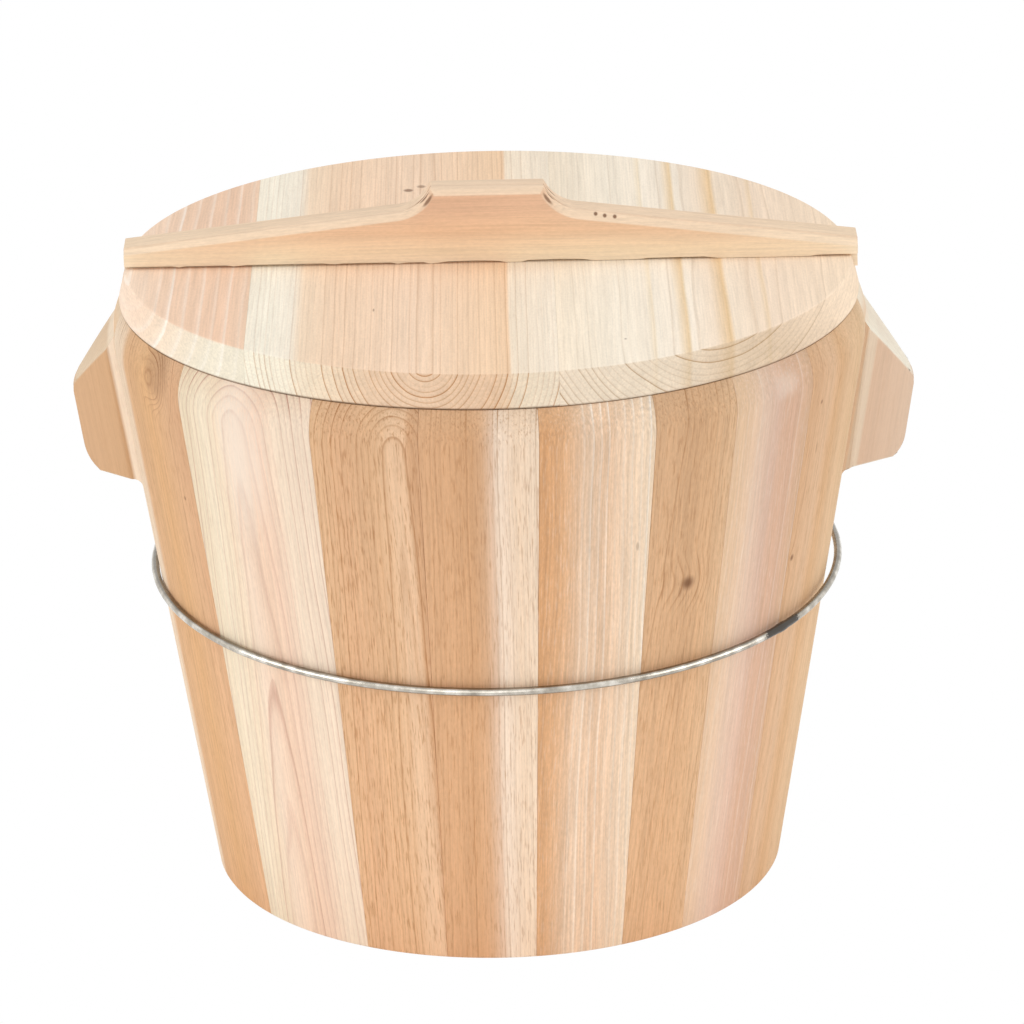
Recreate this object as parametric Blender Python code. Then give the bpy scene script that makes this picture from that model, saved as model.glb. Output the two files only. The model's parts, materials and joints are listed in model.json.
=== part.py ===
"""Wooden rice steamer: a tapered barrel of pinned fir staves, a wire hoop, a boarded lid and a lift-out grid.

The barrel stands on the floor at the origin with +Z up. Its front faces -Y and its two ears point along X.
Angles round the barrel are azimuths: 0 is the front and they grow towards +X.
"""

import math

import bmesh
import bpy
from mathutils import Matrix, Vector

# Room left between pieces that touch, in metres like every length below
FIT_GAP = 0.0003

# Barrel wall: a straight flare from the foot, rounded inwards over the top stretch
BARREL_HEIGHT = 0.2425
FOOT_RADIUS = 0.1159
WALL_FLARE = 0.1563
WALL = 0.016
FOOT_CHAMFER = 0.0012
SHOULDER_HEIGHT = 0.017
SHOULDER_PULL = 0.0058
SHOULDER_STEPS = 4
LEDGE_HEIGHT = 0.035
LEDGE_WIDTH = 0.007

# Widths of the staves in degrees, from the left ear round the front, the right ear and the back
FRONT_SPANS = (28.3, 26.0, 16.7, 17.5, 17.7, 14.1, 17.4, 25.7)
EAR_SPAN = 16.6
BACK_SPANS = (21.0, 18.0, 23.0, 19.5, 22.0, 17.9, 20.0, 22.0)
DEGREES_PER_FACET = 4.0

# Ears: bevelled blocks that stand out of two thick staves, under a slope that starts on the wall
EAR_FOOT_HEIGHT = 0.1715
EAR_TOP_HEIGHT = 0.231
LEFT_EAR_REACH = 0.0205
RIGHT_EAR_REACH = 0.0235
EAR_STEP = 0.0033
EAR_TIP_WIDTH = 0.013
EAR_TOP_SLOPE = math.radians(55)
EAR_EDGE_ROUND = 0.0025
EAR_INSET = 0.0005
EAR_ROOT = 0.008
EAR_CAP_DROP = 0.0034

# Bamboo pins across the stave joints, set low and high by turns
STAVE_PIN_RADIUS = 0.002
STAVE_PIN_LENGTH = 0.018
STAVE_PIN_LOW = 0.062
STAVE_PIN_HIGH = 0.176

# Wire hoop, hanging a little lower at the front, with its ends butt welded
HOOP_WIRE_RADIUS = 0.0016
HOOP_HEIGHT = 0.1295
HOOP_TILT = math.radians(2.5)
HOOP_SLACK = 0.0012
HOOP_SEGMENTS = 90
HOOP_SIDES = 8
WELD_AZIMUTH = math.radians(55)
WELD_LENGTH = 0.014
WELD_SWELL = 0.16

# Lid: boards running front to back under a dovetailed cross bar, a little wider than the barrel's rim
LID_OVERHANG = 0.0005
LID_EDGE_SLANT = 0.0032
LID_THICKNESS = 0.0132
LID_SEGMENTS = 96
LID_LEFT_JOINT = -0.0945
LID_RIGHT_JOINT = 0.026
LID_PIN_RADIUS = 0.0022
LID_PIN_LENGTH = 0.030
LID_PIN_OFFSET = 0.070

# Cross bar: a flat grip between two coves and two falling arms, sawn off just inside the lid's lower edge
BAR_END_INSET = 0.002
BAR_THICKNESS = 0.018
BAR_END_HEIGHT = 0.0072
GRIP_HEIGHT = 0.0303
GRIP_LENGTH = 0.045
COVE_RADIUS = 0.017
COVE_STEEPNESS = math.radians(66)
COVE_STEPS = 6
BAR_CHAMFER = 0.0025
TAIL_DEPTH = 0.0045
TAIL_NECK = 0.0125
TAIL_WIDTH = 0.0155

# Steaming grid: slats housed over two battens, resting on the barrel's ledge
GRID_CLEARANCE = 0.0015
SLAT_COUNT = 7
SLAT_GAP = 0.0035
SLAT_THICKNESS = 0.009
GRID_SEGMENTS = 72
BATTEN_WIDTH = 0.014
BATTEN_HEIGHT = 0.010
BATTEN_OFFSET = 0.032
BATTEN_HOUSING = 0.002
BATTEN_CLEARANCE = 0.003

PIN_SIDES = 10

# Linear colours, roughness and metallic value of each finish
FINISHES = {
    "fir_brown": ((0.62, 0.36, 0.18), 0.6, 0.0),
    "fir_pink": ((0.78, 0.56, 0.39), 0.6, 0.0),
    "fir_pale": ((0.87, 0.70, 0.50), 0.6, 0.0),
    "bamboo": ((0.74, 0.60, 0.32), 0.5, 0.0),
    "galvanised_wire": ((0.55, 0.56, 0.57), 0.35, 1.0),
}
FRONT_FINISHES = (
    "fir_brown", "fir_pale", "fir_brown", "fir_pink", "fir_pink", "fir_brown", "fir_pink", "fir_brown",
)
BACK_FINISHES = (
    "fir_pink", "fir_pale", "fir_brown", "fir_pink", "fir_brown", "fir_pale", "fir_pink", "fir_brown",
)
LID_FINISHES = ("fir_pink", "fir_brown", "fir_pale")

LID_SEAT = BARREL_HEIGHT + FIT_GAP
RIM_RADIUS = FOOT_RADIUS + WALL_FLARE * BARREL_HEIGHT - SHOULDER_PULL
LID_RADIUS = RIM_RADIUS + LID_OVERHANG
LID_TOP_RADIUS = LID_RADIUS - LID_EDGE_SLANT
LID_JOINTS = (LID_LEFT_JOINT, LID_RIGHT_JOINT)
BAR_HALF_LENGTH = LID_RADIUS - BAR_END_INSET
GRID_SEAT = LEDGE_HEIGHT + FIT_GAP
UP = Vector((0, 0, 1))


def wall_radius(height):
    """Outside radius of the straight flare at a height."""
    return FOOT_RADIUS + WALL_FLARE * height


def inner_radius(height):
    return wall_radius(height) - WALL


def clear_scene():
    for item in list(bpy.data.objects):
        bpy.data.objects.remove(item, do_unlink=True)


def make_finish(name, finish):
    """Give each piece a material of its own in one of the finishes."""
    colour, roughness, metallic = FINISHES[finish]
    material = bpy.data.materials.new(name)
    material.use_nodes = True
    shader = material.node_tree.nodes["Principled BSDF"]
    shader.inputs["Base Color"].default_value = (*colour, 1)
    shader.inputs["Roughness"].default_value = roughness
    shader.inputs["Metallic"].default_value = metallic
    return material


def make_empty(name, height):
    empty = bpy.data.objects.new(name, None)
    empty.location.z = height
    bpy.context.scene.collection.objects.link(empty)
    return empty


def make_object(name, bm, parent):
    bmesh.ops.recalc_face_normals(bm, faces=bm.faces)
    mesh = bpy.data.meshes.new(name)
    bm.to_mesh(mesh)
    bm.free()
    item = bpy.data.objects.new(name, mesh)
    item.parent = parent
    bpy.context.scene.collection.objects.link(item)
    return item


def make_piece(name, bm, parent, finish):
    """A sub-part of the steamer, smooth where it is round."""
    piece = make_object(name, bm, parent)
    piece.data.shade_smooth()
    piece.data.set_sharp_from_angle(angle=math.radians(30))
    piece.data.materials.append(make_finish(name, finish))
    return piece


def make_cutter(name, bm, parent):
    cutter = make_object(name, bm, parent)
    cutter.hide_render = True
    cutter.display_type = "WIRE"
    return cutter


def combine(piece, other, operation):
    modifier = piece.modifiers.new(other.name, "BOOLEAN")
    modifier.operation = operation
    modifier.object = other


def prism(outline, direction):
    """Closed solid swept from a flat outline of points along a direction."""
    bm = bmesh.new()
    face = bm.faces.new([bm.verts.new(point) for point in outline])
    swept = bmesh.ops.extrude_face_region(bm, geom=[face])["geom"]
    moved = [item for item in swept if isinstance(item, bmesh.types.BMVert)]
    bmesh.ops.translate(bm, verts=moved, vec=direction)
    return bm


def cut_away(bm, point, normal):
    """Remove what lies beyond a plane on its normal's side, and close the cut."""
    everything = bm.verts[:] + bm.edges[:] + bm.faces[:]
    bmesh.ops.bisect_plane(bm, geom=everything, plane_co=point, plane_no=normal, clear_outer=True)
    open_edges = [edge for edge in bm.edges if edge.is_boundary]
    bmesh.ops.holes_fill(bm, edges=open_edges)


def rod(radius, length):
    """Round rod along X, centred on the origin."""
    bm = bmesh.new()
    bmesh.ops.create_cone(bm, cap_ends=True, segments=PIN_SIDES, radius1=radius, radius2=radius, depth=length)
    bmesh.ops.rotate(bm, verts=bm.verts, matrix=Matrix.Rotation(math.pi / 2, 3, "Y"))
    return bm


def stave_section():
    """Radius and height round the wall's section, from the foot's inner edge up the outside."""
    shoulder_start = BARREL_HEIGHT - SHOULDER_HEIGHT
    points = [
        (inner_radius(0) - LEDGE_WIDTH, 0),
        (FOOT_RADIUS - FOOT_CHAMFER, 0),
        (wall_radius(FOOT_CHAMFER), FOOT_CHAMFER),
        (wall_radius(shoulder_start), shoulder_start),
    ]
    for step in range(1, SHOULDER_STEPS + 1):
        share = step / SHOULDER_STEPS
        height = shoulder_start + share * SHOULDER_HEIGHT
        points.append((wall_radius(height) - SHOULDER_PULL * share ** 2, height))
    points += [
        (inner_radius(BARREL_HEIGHT), BARREL_HEIGHT),
        (inner_radius(LEDGE_HEIGHT), LEDGE_HEIGHT),
        (inner_radius(LEDGE_HEIGHT) - LEDGE_WIDTH, LEDGE_HEIGHT),
    ]
    return points


def stave_mesh(half_span):
    """One stave, facing the front, made by turning the wall's section about the barrel's axis."""
    bm = bmesh.new()
    turn = half_span - FIT_GAP / 2 / FOOT_RADIUS
    verts = [bm.verts.new((0, -radius, height)) for radius, height in stave_section()]
    edges = [bm.edges.new((verts[index - 1], vert)) for index, vert in enumerate(verts)]
    bmesh.ops.rotate(bm, verts=verts, cent=(0, 0, 0), matrix=Matrix.Rotation(-turn, 3, "Z"))
    steps = math.ceil(math.degrees(2 * turn) / DEGREES_PER_FACET)
    bmesh.ops.spin(bm, geom=verts + edges, cent=(0, 0, 0), axis=UP, angle=2 * turn, steps=steps)
    bmesh.ops.holes_fill(bm, edges=[edge for edge in bm.edges if edge.is_boundary])
    return bm


def ear_mesh(half_span, ear_reach):
    """Ear block facing the front: parallel sides for a short step, then bevelled cheeks to a narrow tip."""
    root = wall_radius(EAR_FOOT_HEIGHT) - EAR_ROOT
    step = wall_radius(EAR_FOOT_HEIGHT) + EAR_STEP
    tip = wall_radius(EAR_FOOT_HEIGHT) + ear_reach
    half_widths = (
        (root, root * math.tan(half_span) - EAR_INSET),
        (step, step * math.tan(half_span) - EAR_INSET),
        (tip, EAR_TIP_WIDTH / 2),
    )
    outline = [(half, -reach, EAR_FOOT_HEIGHT) for reach, half in half_widths]
    outline += [(-half, -reach, EAR_FOOT_HEIGHT) for reach, half in reversed(half_widths)]
    rise = BARREL_HEIGHT - EAR_FOOT_HEIGHT
    bm = prism(outline, (0, -WALL_FLARE * rise, rise))
    top = (0, -wall_radius(EAR_TOP_HEIGHT), EAR_TOP_HEIGHT)
    cut_away(bm, top, (0, -math.sin(EAR_TOP_SLOPE), math.cos(EAR_TOP_SLOPE)))
    cut_away(bm, (0, 0, BARREL_HEIGHT - EAR_CAP_DROP), UP)
    bm.normal_update()
    tip_face = min(bm.faces, key=lambda face: face.calc_center_median().y)
    edges = tip_face.edges[:]
    bmesh.ops.bevel(bm, geom=edges, offset=EAR_EDGE_ROUND, segments=2, profile=0.5, affect="EDGES")
    return bm


def make_staves(barrel):
    """The ring of staves, with a pin across every joint between two of them."""
    spans = [*FRONT_SPANS, EAR_SPAN, *BACK_SPANS, EAR_SPAN]
    finishes = [*FRONT_FINISHES, "fir_brown", *BACK_FINISHES, "fir_brown"]
    names = [f"stave_front_{index + 1}" for index in range(len(FRONT_SPANS))] + ["stave_ear_right"]
    names += [f"stave_back_{index + 1}" for index in range(len(BACK_SPANS))] + ["stave_ear_left"]
    ear_reaches = {"stave_ear_left": LEFT_EAR_REACH, "stave_ear_right": RIGHT_EAR_REACH}
    full_turn = 2 * math.pi / sum(spans)
    azimuth = -full_turn * sum(FRONT_SPANS) / 2
    staves = []
    joints = []
    for name, span, finish in zip(names, spans, finishes):
        half_span = full_turn * span / 2
        stave = make_piece(name, stave_mesh(half_span), barrel, finish)
        stave.rotation_euler.z = azimuth + half_span
        if name in ear_reaches:
            ear = make_cutter(f"{name}_block", ear_mesh(half_span, ear_reaches[name]), barrel)
            ear.rotation_euler.z = azimuth + half_span
            combine(stave, ear, "UNION")
        azimuth += 2 * half_span
        staves.append(stave)
        joints.append(azimuth)
    for index, azimuth in enumerate(joints):
        neighbours = (staves[index], staves[(index + 1) % len(staves)])
        make_stave_pin(index, azimuth, neighbours, barrel)


def make_stave_pin(index, azimuth, neighbours, barrel):
    """A bamboo pin through the middle of the wall, half in each neighbour."""
    height = STAVE_PIN_HIGH if index % 2 else STAVE_PIN_LOW
    radius = wall_radius(height) - WALL / 2
    place = (radius * math.sin(azimuth), -radius * math.cos(azimuth), height)
    pin = make_piece(f"stave_pin_{index + 1}", rod(STAVE_PIN_RADIUS, STAVE_PIN_LENGTH), barrel, "bamboo")
    hole_mesh = rod(STAVE_PIN_RADIUS + FIT_GAP, STAVE_PIN_LENGTH + 2 * FIT_GAP)
    hole = make_cutter(f"stave_pin_hole_{index + 1}", hole_mesh, barrel)
    for item in (pin, hole):
        item.location = place
        item.rotation_euler.z = azimuth
    for stave in neighbours:
        combine(stave, hole, "DIFFERENCE")


def make_hoop(barrel):
    """The wire ring, as wide as the slanting cut that its plane makes through the barrel, plus some slack."""
    at_side = wall_radius(HOOP_HEIGHT)
    to_back = at_side / (math.cos(HOOP_TILT) - WALL_FLARE * math.sin(HOOP_TILT))
    to_front = at_side / (math.cos(HOOP_TILT) + WALL_FLARE * math.sin(HOOP_TILT))
    bore = (to_back + to_front) / 2 + HOOP_SLACK
    radius = bore + HOOP_WIRE_RADIUS
    bm = bmesh.new()
    bmesh.ops.create_circle(bm, segments=HOOP_SIDES, radius=HOOP_WIRE_RADIUS)
    bmesh.ops.rotate(bm, verts=bm.verts, matrix=Matrix.Rotation(math.pi / 2, 3, "Y"))
    bmesh.ops.translate(bm, verts=bm.verts, vec=(0, -radius, 0))
    bmesh.ops.spin(
        bm, geom=bm.verts[:] + bm.edges[:], cent=(0, 0, 0), axis=UP,
        angle=2 * math.pi, steps=HOOP_SEGMENTS, use_merge=True,
    )
    bmesh.ops.remove_doubles(bm, verts=bm.verts, dist=FIT_GAP / 10)
    weld = Matrix.Rotation(WELD_AZIMUTH, 3, "Z") @ Vector((0, -radius, 0))
    for vert in bm.verts:
        centre = Vector((vert.co.x, vert.co.y, 0)).normalized() * radius
        fade = max(0, 1 - (centre - weld).length / (WELD_LENGTH / 2))
        vert.co += (vert.co - centre) * WELD_SWELL * fade
    hoop = make_piece("hoop", bm, barrel, "galvanised_wire")
    hoop.rotation_euler.x = HOOP_TILT
    along = (to_back - to_front) / 2
    rest_left = bore - at_side - FIT_GAP
    hoop.location = (rest_left, along * math.cos(HOOP_TILT), HOOP_HEIGHT + along * math.sin(HOOP_TILT))


def board_mesh(left, right):
    """A slice of the round lid between two joints, or as far as the edge where a joint is None."""
    bm = bmesh.new()
    bmesh.ops.create_cone(
        bm, cap_ends=True, segments=LID_SEGMENTS,
        radius1=LID_RADIUS, radius2=LID_TOP_RADIUS, depth=LID_THICKNESS,
    )
    bmesh.ops.translate(bm, verts=bm.verts, vec=(0, 0, LID_THICKNESS / 2))
    if left is not None:
        cut_away(bm, (left + FIT_GAP / 2, 0, 0), (-1, 0, 0))
    if right is not None:
        cut_away(bm, (right - FIT_GAP / 2, 0, 0), (1, 0, 0))
    return bm


def tail_mesh(room, half_length, above):
    """Dovetail along X, below the lid's top face at height 0, with room all round and a stem above."""
    neck = TAIL_NECK / 2 + room
    spread = TAIL_WIDTH / 2 + room
    bottom = -TAIL_DEPTH - room
    outline = ((neck, above), (neck, 0), (spread, bottom), (-spread, bottom), (-neck, 0), (-neck, above))
    return prism([(-half_length, y, z) for y, z in outline], (2 * half_length, 0, 0))


def make_lid_boards(lid):
    """Edge-joined boards with pins across the joints and a dovetail groove for the bar."""
    edges = (None, *LID_JOINTS, None)
    boards = []
    groove = make_cutter("lid_groove", tail_mesh(FIT_GAP, LID_RADIUS + LID_THICKNESS, TAIL_DEPTH), lid)
    groove.location.z = LID_THICKNESS
    for index, finish in enumerate(LID_FINISHES):
        board = make_piece(f"lid_board_{index + 1}", board_mesh(edges[index], edges[index + 1]), lid, finish)
        combine(board, groove, "DIFFERENCE")
        boards.append(board)
    for index, joint in enumerate(LID_JOINTS):
        for side, offset in (("front", -LID_PIN_OFFSET), ("back", LID_PIN_OFFSET)):
            name = f"lid_pin_{index + 1}_{side}"
            pin = make_piece(name, rod(LID_PIN_RADIUS, LID_PIN_LENGTH), lid, "bamboo")
            hole_mesh = rod(LID_PIN_RADIUS + FIT_GAP, LID_PIN_LENGTH + 2 * FIT_GAP)
            hole = make_cutter(f"{name}_hole", hole_mesh, lid)
            for item in (pin, hole):
                item.location = (joint, offset, LID_THICKNESS / 2)
            for board in boards[index:index + 2]:
                combine(board, hole, "DIFFERENCE")


def bar_profile():
    """Reach and height along the right half of the bar's top, from the grip out to the end."""
    centre_reach = GRIP_LENGTH / 2 + COVE_RADIUS * math.sin(COVE_STEEPNESS)
    centre_height = GRIP_HEIGHT + COVE_RADIUS * math.cos(COVE_STEEPNESS)
    to_centre = Vector((BAR_HALF_LENGTH - centre_reach, centre_height - BAR_END_HEIGHT))
    arm_slope = math.atan2(to_centre.y, to_centre.x) - math.asin(COVE_RADIUS / to_centre.length)
    points = []
    for step in range(COVE_STEPS + 1):
        slope = COVE_STEEPNESS + (arm_slope - COVE_STEEPNESS) * step / COVE_STEPS
        reach = centre_reach - COVE_RADIUS * math.sin(slope)
        points.append((reach, centre_height - COVE_RADIUS * math.cos(slope)))
    points.append((BAR_HALF_LENGTH, BAR_END_HEIGHT))
    return points


def make_bar(lid):
    """The cross bar on its dovetail, with its upper edges chamfered."""
    half = BAR_THICKNESS / 2
    right = bar_profile()
    top = [(-reach, height) for reach, height in reversed(right)] + right
    outline = [(BAR_HALF_LENGTH, 0), (-BAR_HALF_LENGTH, 0)] + top
    bm = prism([(x, -half, z) for x, z in outline], (0, BAR_THICKNESS, 0))
    upper = [
        edge for edge in bm.edges
        if min(vert.co.z for vert in edge.verts) > BAR_END_HEIGHT / 2
        and abs(edge.verts[0].co.y - edge.verts[1].co.y) < half
    ]
    bmesh.ops.bevel(bm, geom=upper, offset=BAR_CHAMFER, segments=1, profile=0.5, affect="EDGES")
    bar = make_piece("lid_bar", bm, lid, "fir_pink")
    bar.location.z = LID_THICKNESS + FIT_GAP
    tail = make_cutter("lid_bar_tail", tail_mesh(0, BAR_HALF_LENGTH, BAR_END_HEIGHT / 2), lid)
    tail.location.z = LID_THICKNESS
    combine(bar, tail, "UNION")


def make_grid(grid):
    """Round grid of slats, housed over two battens that keep clear of the ledge."""
    radius = inner_radius(LEDGE_HEIGHT) - GRID_CLEARANCE
    batten_top = BATTEN_HOUSING - FIT_GAP
    clear_radius = inner_radius(LEDGE_HEIGHT) - LEDGE_WIDTH - BATTEN_CLEARANCE - WALL_FLARE * BATTEN_HEIGHT
    batten_half = math.sqrt(clear_radius ** 2 - (BATTEN_OFFSET + BATTEN_WIDTH / 2) ** 2)
    housings = []
    for name, offset in (("front", -BATTEN_OFFSET), ("back", BATTEN_OFFSET)):
        bm = bmesh.new()
        bmesh.ops.create_cube(bm, size=1)
        bmesh.ops.scale(bm, verts=bm.verts, vec=(2 * batten_half, BATTEN_WIDTH, BATTEN_HEIGHT))
        batten = make_piece(f"grid_batten_{name}", bm, grid, "fir_pale")
        batten.location = (0, offset, batten_top - BATTEN_HEIGHT / 2)
        bm = bmesh.new()
        bmesh.ops.create_cube(bm, size=1)
        room = 2 * FIT_GAP
        bmesh.ops.scale(bm, verts=bm.verts, vec=(2 * batten_half + room, BATTEN_WIDTH + room, BATTEN_HEIGHT))
        housing = make_cutter(f"grid_housing_{name}", bm, grid)
        housing.location = (0, offset, BATTEN_HOUSING - BATTEN_HEIGHT / 2)
        housings.append(housing)
    pitch = (2 * radius + SLAT_GAP) / SLAT_COUNT
    for index in range(SLAT_COUNT):
        bm = bmesh.new()
        bmesh.ops.create_cone(
            bm, cap_ends=True, segments=GRID_SEGMENTS, radius1=radius, radius2=radius, depth=SLAT_THICKNESS
        )
        bmesh.ops.translate(bm, verts=bm.verts, vec=(0, 0, SLAT_THICKNESS / 2))
        left = -radius + pitch * index
        if index > 0:
            cut_away(bm, (left, 0, 0), (-1, 0, 0))
        if index < SLAT_COUNT - 1:
            cut_away(bm, (left + pitch - SLAT_GAP, 0, 0), (1, 0, 0))
        slat = make_piece(f"grid_slat_{index + 1}", bm, grid, "fir_pale")
        for housing in housings:
            combine(slat, housing, "DIFFERENCE")


def main():
    clear_scene()
    barrel = make_empty("barrel", 0)
    lid = make_empty("lid", LID_SEAT)
    grid = make_empty("grid", GRID_SEAT)
    make_staves(barrel)
    make_hoop(barrel)
    make_lid_boards(lid)
    make_bar(lid)
    make_grid(grid)


main()
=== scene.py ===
"""Looks of the wooden rice steamer: sanded fir staves, lid and grid, a galvanised hoop and a white stage."""

import json
import math

import bmesh
import bpy
from mathutils import Euler, Matrix, Quaternion, Vector


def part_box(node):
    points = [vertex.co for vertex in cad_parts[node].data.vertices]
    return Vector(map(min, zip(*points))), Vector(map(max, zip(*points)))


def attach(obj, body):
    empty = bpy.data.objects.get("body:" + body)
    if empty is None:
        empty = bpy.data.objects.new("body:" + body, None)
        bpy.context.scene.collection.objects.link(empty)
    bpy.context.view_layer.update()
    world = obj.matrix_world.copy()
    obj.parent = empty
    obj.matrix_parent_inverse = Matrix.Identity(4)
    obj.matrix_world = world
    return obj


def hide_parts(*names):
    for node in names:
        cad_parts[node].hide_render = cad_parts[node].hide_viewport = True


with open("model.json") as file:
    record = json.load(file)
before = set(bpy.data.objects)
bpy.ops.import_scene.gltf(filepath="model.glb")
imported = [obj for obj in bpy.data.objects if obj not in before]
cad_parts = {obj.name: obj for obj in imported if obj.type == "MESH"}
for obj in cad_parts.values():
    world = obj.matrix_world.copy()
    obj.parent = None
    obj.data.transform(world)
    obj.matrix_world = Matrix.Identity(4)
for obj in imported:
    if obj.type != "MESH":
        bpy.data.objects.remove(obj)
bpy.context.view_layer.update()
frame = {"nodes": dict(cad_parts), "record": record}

MM = 0.001
UP = Vector((0, 0, 1))

# Meshes: the angle above which an edge stays crisp, and the distance below which corners are one
CRISP_ANGLE = math.radians(28)
MERGE_DISTANCE = 0.005 * MM

# Barrel wall: a straight flare from the foot, rounded inwards over the top stretch
BARREL_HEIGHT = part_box("stave_front_1")[1][2]
FOOT_RADIUS = 115.9 * MM
WALL_FLARE = 0.1563
WALL = 16 * MM
FOOT_ROUND = 1.2 * MM
WALL_STATIONS = (80 * MM, 160 * MM)
SHOULDER_HEIGHT = 17 * MM
SHOULDER_PULL = 5.8 * MM
SHOULDER_STEPS = 14
RIM_ROUND = 1.0 * MM
LEDGE_HEIGHT = 35 * MM
LEDGE_WIDTH = 7 * MM
SEAM = 0.04 * MM
ARRIS = 0.18 * MM
WALL_TILT = math.atan(WALL_FLARE)
STAVE_FACET = math.radians(1.5)

# Widths of the staves in degrees, from the left ear round the front, the right ear and the back
FRONT_SPANS = (28.3, 26.0, 16.7, 17.5, 17.7, 14.1, 17.4, 25.7)
EAR_SPAN = 16.6
BACK_SPANS = (21.0, 18.0, 23.0, 19.5, 22.0, 17.9, 20.0, 22.0)

# Ears, carved in one with two thick staves
EAR_FOOT_HEIGHT = 171.5 * MM
EAR_TOP_HEIGHT = 231 * MM
# Reach, cheek step, height of the foot, depth and height of its rounded corner, and how round that is
EARS = {"stave_ear_left": (20.5 * MM, 3.3 * MM, 171.5 * MM, 4.5 * MM, 12 * MM, 3.0),
        "stave_ear_right": (23.5 * MM, 1.8 * MM, 170.2 * MM, 3.6 * MM, 9 * MM, 2.6)}
EAR_TIP_WIDTH = 13 * MM
EAR_TOP_SLOPE = math.radians(55)
EAR_FILLET = 4.5 * MM
EAR_CORNER = 3.0 * MM
EAR_STEPS = 6
EAR_EDGE_ROUND = 1.0 * MM

# Hoop
HOOP_WIRE_RADIUS = 1.6 * MM
HOOP_HEIGHT = 129.5 * MM
HOOP_TILT = math.radians(2.5)
HOOP_SLACK = 1.2 * MM
HOOP_CONTACT = 0.3 * MM
HOOP_SEGMENTS = 540
HOOP_SIDES = 18
WELD_AZIMUTH = math.radians(53.5)
WELD_LENGTH = 14 * MM
WELD_SWELL = 0.16
WELD_LUMPS = 0.05
WELD_LUMP_SIZE = 0.8 * MM
SCORCH_LENGTH = 26 * MM

# Lid and its cross bar
LID_SEAT, LID_TOP = (corner[2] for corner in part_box("lid_board_2"))
LID_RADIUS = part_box("lid_board_2")[1][1]
LID_EDGE_SLANT = 3.2 * MM
LID_JOINTS = (-94.5 * MM, 26 * MM)
LID_EDGE_ROUND = 0.8 * MM
LID_SEGMENTS = 288
BAR_LIFT = 0.4 * MM
BAR_LEFT_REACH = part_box("lid_bar")[1][0] - 1.0 * MM
BAR_RIGHT_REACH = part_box("lid_bar")[1][0] + 1.1 * MM
BAR_THICKNESS = 18 * MM
LEFT_END_HEIGHT = 8.0 * MM
RIGHT_END_HEIGHT = 6.8 * MM
GRIP_HEIGHT = 30.3 * MM
GRIP_LENGTH = 45 * MM
GRIP_STATIONS = [reach * MM for reach in (2, 4.5, 7, 10, 13, 16, 19)]
COVE_RADIUS = 17 * MM
COVE_STEEPNESS = math.radians(66)
COVE_STEPS = 9
ARM_STEPS = 40
LEFT_CHAMFER = 2.5 * MM
RIGHT_CHAMFER = 3.2 * MM
GRIP_CHAMFER = 2.4 * MM
GRIP_BACK_CHAMFER = 4.6 * MM
CHAMFER_RUN = 15 * MM
BAR_ARRIS = 0.35 * MM
BAR_CRISP = math.radians(25)
TAIL_DEPTH = 4.5 * MM
TAIL_NECK = 12.5 * MM
TAIL_WIDTH = 15.5 * MM
TAIL_ROOM = 0.3 * MM

# Steaming grid
GRID_ROUND = 0.6 * MM
GRID_CRISP = math.radians(40)
GRID_FLAT = math.radians(1)

# Camera and stage
CAMERA_DISTANCE = 2406.8 * MM
CAMERA_ELEVATION = math.radians(17.90)
CAMERA_ROLL = math.radians(-1.06)
CAMERA_AIM = Vector((7.6 * MM, 0, 146.4 * MM))
FOCAL_PIXELS = 6000
FRAME_PIXELS = 1024
SENSOR_WIDTH = 36.0
VIEW_LIMIT = 50
FLOOR_REACH = 6
AMBIENT_LIGHT = 0.62
# Each lamp's place and aim in metres, width in metres and power in watts
LAMPS = {"left": ((-2.1, -0.9, 0.7), (0, 0, 0.12), 1.6, 18),
         "right": ((2.1, -0.9, 0.7), (0, 0, 0.12), 1.6, 18),
         "front": ((-0.4, -2.3, 0.9), (0, 0, 0.12), 1.6, 8),
         "above": ((0, 0.5, 2.5), (0, 0, 0.2), 1.6, 14)}


def wall_radius(height):
    return FOOT_RADIUS + WALL_FLARE * height


def inner_radius(height):
    return wall_radius(height) - WALL


def linear(hex_code):
    """An sRGB hex colour as linear RGBA."""
    channels = [int(hex_code[index:index + 2], 16) / 255 for index in (1, 3, 5)]
    return (*[c / 12.92 if c <= 0.04045 else ((c + 0.055) / 1.055) ** 2.4 for c in channels], 1)


def add(material, kind, sockets=None, stops=(), **settings):
    """Add a node with its settings, link or set its input sockets, and place a colour ramp's stops, which are
    hex colours or grey levels."""
    tree = material.node_tree
    node = tree.nodes.new(kind)
    for name, value in settings.items():
        setattr(node, name, value)
    for name, value in (sockets or {}).items():
        if isinstance(value, bpy.types.NodeSocket):
            tree.links.new(value, node.inputs[name])
        else:
            node.inputs[name].default_value = value
    if stops:
        elements = node.color_ramp.elements
        elements.remove(elements[1])
        for index, (position, shade) in enumerate(stops):
            element = elements[0] if index == 0 else elements.new(position)
            element.position = position
            element.color = linear(shade) if isinstance(shade, str) else (shade, shade, shade, 1)
    return node


def new_material(name):
    material = bpy.data.materials.new(name)
    material.use_nodes = True
    material.node_tree.nodes.clear()
    return material


def finish_piece(name, bm, material, body, nodes):
    """Turn a closed bmesh into a smooth piece that rides on a body and stands for its CAD nodes."""
    bmesh.ops.recalc_face_normals(bm, faces=bm.faces)
    mesh = bpy.data.meshes.new(name)
    bm.to_mesh(mesh)
    bm.free()
    mesh.shade_smooth()
    mesh.set_sharp_from_angle(angle=CRISP_ANGLE)
    mesh.materials.append(material)
    piece = bpy.data.objects.new(name, mesh)
    bpy.context.scene.collection.objects.link(piece)
    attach(piece, body)
    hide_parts(*nodes)
    return piece


# Materials

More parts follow.
